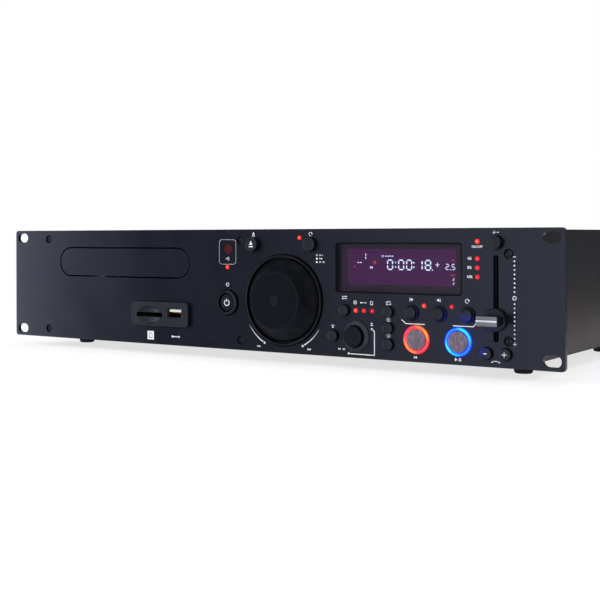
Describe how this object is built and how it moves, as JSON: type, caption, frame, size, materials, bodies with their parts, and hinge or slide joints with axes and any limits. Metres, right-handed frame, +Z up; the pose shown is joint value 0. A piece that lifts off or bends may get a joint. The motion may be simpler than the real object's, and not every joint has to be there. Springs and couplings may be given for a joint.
{
  "type": "rack-mount dj disc player",
  "caption": "Two-unit rack player for discs, memory cards and sticks, with a sliding tray, jog wheel, display, pitch fader and lit cue and play buttons.",
  "frame": {"origin": "centre of the footprint of the whole object, on the plane that the feet stand on", "axes": "+X to the right seen from the front, -Y out of the front panel, +Z up"},
  "size_m": [0.482, 0.2748, 0.096],
  "materials": {
    "anodised_panel": "satin black anodised",
    "black_plastic": "fine moulded texture",
    "bright_steel": "plated",
    "brushed_metal": "fine brushed",
    "circuit_board": "solder resist",
    "cue_light": "lit red-orange diffuser",
    "display_glass": "dark glass with lit segments",
    "foot_rubber": "matte",
    "grey_plastic": "moulded",
    "painted_steel": "dark grey powder coat",
    "play_light": "lit blue diffuser",
    "red_window": "clear dark red",
    "smoked_lens": "polished smoked acrylic",
    "soft_black": "smooth satin",
    "transformer_iron": "laminated core, dark varnish",
    "white_plastic": "moulded"
  },
  "bodies": {
    "chassis": {"front_panel": "anodised_panel", "chassis_base": "painted_steel", "top_cover": "painted_steel", "rear_panel": "painted_steel", "foot_front_left": "foot_rubber", "foot_front_right": "foot_rubber", "foot_rear_left": "foot_rubber", "foot_rear_right": "foot_rubber", "loader_frame": "soft_black", "clamp_bridge": "painted_steel", "loading_motor": "bright_steel", "jog_bezel": "black_plastic", "jog_bearing": "bright_steel", "display_lens": "smoked_lens", "display_module": "display_glass", "track_knob_collar": "black_plastic", "track_encoder": "bright_steel", "pitch_fader": "bright_steel", "power_bezel": "black_plastic", "loop_bezel": "black_plastic", "cue_ring": "cue_light", "play_ring": "play_light", "media_bay": "black_plastic", "usb_socket": "bright_steel", "card_reader": "circuit_board", "sensor_window": "red_window", "control_board": "circuit_board", "main_board": "circuit_board", "power_supply": "transformer_iron", "mains_inlet": "black_plastic", "output_jacks": "black_plastic"},
    "tray": {"disc_tray": "soft_black", "tray_door": "anodised_panel"},
    "loading_gear": {"loading_gear": "white_plastic"},
    "drive_deck": {"drive_deck": "painted_steel", "spindle_motor": "bright_steel", "guide_rod": "bright_steel"},
    "turntable": {"turntable": "soft_black"},
    "clamp_puck": {"clamp_puck": "soft_black"},
    "pickup_sled": {"pickup_sled": "grey_plastic"},
    "jog_wheel": {"jog_wheel": "soft_black"},
    "track_rotor": {"track_rotor": "bright_steel"},
    "track_knob": {"track_knob": "soft_black"},
    "pitch_fader": {"pitch_fader_cap": "brushed_metal"},
    "open_close_button": {"open_close_button": "black_plastic"},
    "jog_mode_button": {"jog_mode_button": "black_plastic"},
    "source_button": {"source_button": "black_plastic"},
    "tap_button": {"tap_button": "black_plastic"},
    "repeat_button": {"repeat_button": "black_plastic"},
    "time_button": {"time_button": "black_plastic"},
    "single_button": {"single_button": "black_plastic"},
    "pitch_button": {"pitch_button": "black_plastic"},
    "bend_minus_button": {"bend_minus_button": "black_plastic"},
    "bend_plus_button": {"bend_plus_button": "black_plastic"},
    "loop_in_button": {"loop_in_button": "black_plastic"},
    "loop_out_button": {"loop_out_button": "black_plastic"},
    "reloop_button": {"reloop_button": "black_plastic"},
    "cue_button": {"cue_button": "brushed_metal"},
    "play_button": {"play_button": "brushed_metal"},
    "power_button": {"power_button": "soft_black"}
  },
  "joints": [
    {"name": "tray_slide", "type": "slide", "parent": "chassis", "child": "tray", "axis": [0, -1, 0], "range_m": [0, 0.138]},
    {"name": "loading_gear_turn", "type": "hinge", "parent": "chassis", "child": "loading_gear", "pos_m": [-0.16165, -0.0956, 0.0633], "axis": [0, 0, 1], "range_deg": [0, 791]},
    {"name": "deck_tilt", "type": "hinge", "parent": "chassis", "child": "drive_deck", "pos_m": [-0.12005, 0.0484, 0.0615], "axis": [1, 0, 0], "range_deg": [0, 4]},
    {"name": "turntable_spin", "type": "hinge", "parent": "drive_deck", "child": "turntable", "pos_m": [-0.12005, -0.0476, 0.0728], "axis": [0, 0, 1], "continuous": true},
    {"name": "clamp_spin", "type": "hinge", "parent": "chassis", "child": "clamp_puck", "pos_m": [-0.12005, -0.0476, 0.0853], "axis": [0, 0, 1], "continuous": true},
    {"name": "sled_slide", "type": "slide", "parent": "drive_deck", "child": "pickup_sled", "axis": [0, 1, 0], "range_m": [0, 0.035]},
    {"name": "jog_turn", "type": "hinge", "parent": "chassis", "child": "jog_wheel", "pos_m": [0.0345, -0.1216, 0.0453], "axis": [0, -1, 0], "continuous": true},
    {"name": "track_turn", "type": "hinge", "parent": "chassis", "child": "track_rotor", "pos_m": [0.0935, -0.1216, 0.0224], "axis": [0, -1, 0], "continuous": true},
    {"name": "track_push", "type": "slide", "parent": "track_rotor", "child": "track_knob", "axis": [0, 1, 0], "range_m": [0, 0.0005], "stiffness_N_per_m": 2000, "springref_m": -0.0005},
    {"name": "pitch_slide", "type": "slide", "parent": "chassis", "child": "pitch_fader", "axis": [0, 0, 1], "range_m": [-0.0091, 0.0359]},
    {"name": "open_close_press", "type": "slide", "parent": "chassis", "child": "open_close_button", "axis": [0, 1, 0], "range_m": [0, 0.0006], "stiffness_N_per_m": 1500, "springref_m": -0.0006},
    {"name": "jog_mode_press", "type": "slide", "parent": "chassis", "child": "jog_mode_button", "axis": [0, 1, 0], "range_m": [0, 0.0006], "stiffness_N_per_m": 1500, "springref_m": -0.0006},
    {"name": "source_press", "type": "slide", "parent": "chassis", "child": "source_button", "axis": [0, 1, 0], "range_m": [0, 0.0006], "stiffness_N_per_m": 1500, "springref_m": -0.0006},
    {"name": "tap_press", "type": "slide", "parent": "chassis", "child": "tap_button", "axis": [0, 1, 0], "range_m": [0, 0.0006], "stiffness_N_per_m": 1500, "springref_m": -0.0006},
    {"name": "repeat_press", "type": "slide", "parent": "chassis", "child": "repeat_button", "axis": [0, 1, 0], "range_m": [0, 0.0006], "stiffness_N_per_m": 1500, "springref_m": -0.0006},
    {"name": "time_press", "type": "slide", "parent": "chassis", "child": "time_button", "axis": [0, 1, 0], "range_m": [0, 0.0006], "stiffness_N_per_m": 1500, "springref_m": -0.0006},
    {"name": "single_press", "type": "slide", "parent": "chassis", "child": "single_button", "axis": [0, 1, 0], "range_m": [0, 0.0006], "stiffness_N_per_m": 1500, "springref_m": -0.0006},
    {"name": "pitch_press", "type": "slide", "parent": "chassis", "child": "pitch_button", "axis": [0, 1, 0], "range_m": [0, 0.0006], "stiffness_N_per_m": 1500, "springref_m": -0.0006},
    {"name": "bend_minus_press", "type": "slide", "parent": "chassis", "child": "bend_minus_button", "axis": [0, 1, 0], "range_m": [0, 0.0006], "stiffness_N_per_m": 1500, "springref_m": -0.0006},
    {"name": "bend_plus_press", "type": "slide", "parent": "chassis", "child": "bend_plus_button", "axis": [0, 1, 0], "range_m": [0, 0.0006], "stiffness_N_per_m": 1500, "springref_m": -0.0006},
    {"name": "loop_in_press", "type": "slide", "parent": "chassis", "child": "loop_in_button", "axis": [0, 1, 0], "range_m": [0, 0.0006], "stiffness_N_per_m": 1500, "springref_m": -0.0006},
    {"name": "loop_out_press", "type": "slide", "parent": "chassis", "child": "loop_out_button", "axis": [0, 1, 0], "range_m": [0, 0.0006], "stiffness_N_per_m": 1500, "springref_m": -0.0006},
    {"name": "reloop_press", "type": "slide", "parent": "chassis", "child": "reloop_button", "axis": [0, 1, 0], "range_m": [0, 0.0006], "stiffness_N_per_m": 1500, "springref_m": -0.0006},
    {"name": "cue_press", "type": "slide", "parent": "chassis", "child": "cue_button", "axis": [0, 1, 0], "range_m": [0, 0.0008], "stiffness_N_per_m": 1500, "springref_m": -0.0006},
    {"name": "play_press", "type": "slide", "parent": "chassis", "child": "play_button", "axis": [0, 1, 0], "range_m": [0, 0.0008], "stiffness_N_per_m": 1500, "springref_m": -0.0006},
    {"name": "power_press", "type": "slide", "parent": "chassis", "child": "power_button", "axis": [0, 1, 0], "range_m": [0, 0.0015], "stiffness_N_per_m": 1200, "springref_m": -0.0006}
  ],
  "couplings": [
    {"joint": "loading_gear_turn", "follows": "tray_slide", "rad_per_m": 100},
    {"joint": "clamp_spin", "follows": "turntable_spin", "ratio": 1}
  ]
}
